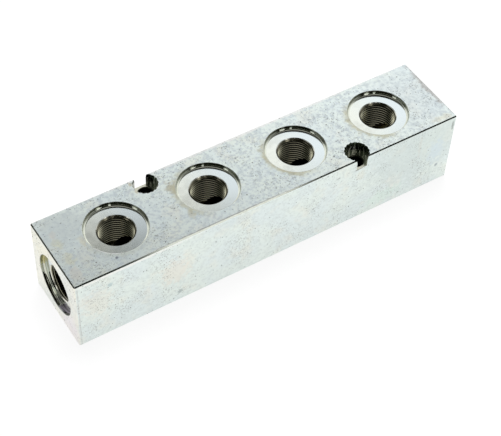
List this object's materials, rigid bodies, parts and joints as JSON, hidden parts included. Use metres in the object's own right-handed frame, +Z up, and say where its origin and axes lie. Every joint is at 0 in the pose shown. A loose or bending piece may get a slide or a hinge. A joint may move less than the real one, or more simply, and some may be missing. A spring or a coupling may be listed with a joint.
{
  "type": "hydraulic manifold block",
  "caption": "Square steel bar drilled lengthwise as an oil gallery, with threaded ports on its top and ends and counterbored screw holes through it.",
  "frame": {"origin": "middle of the bottom face", "axes": "+X along the block, from the end port that the picture shows to the far one; +Z up, out of the top ports; -Y towards the front side face"},
  "size_m": [0.195, 0.04, 0.04],
  "materials": {
    "zinc_plated_steel": "bright zinc plated and blue passivated over ground and turned steel"
  },
  "bodies": {
    "root": {"manifold_block": "zinc_plated_steel"}
  },
  "joints": []
}
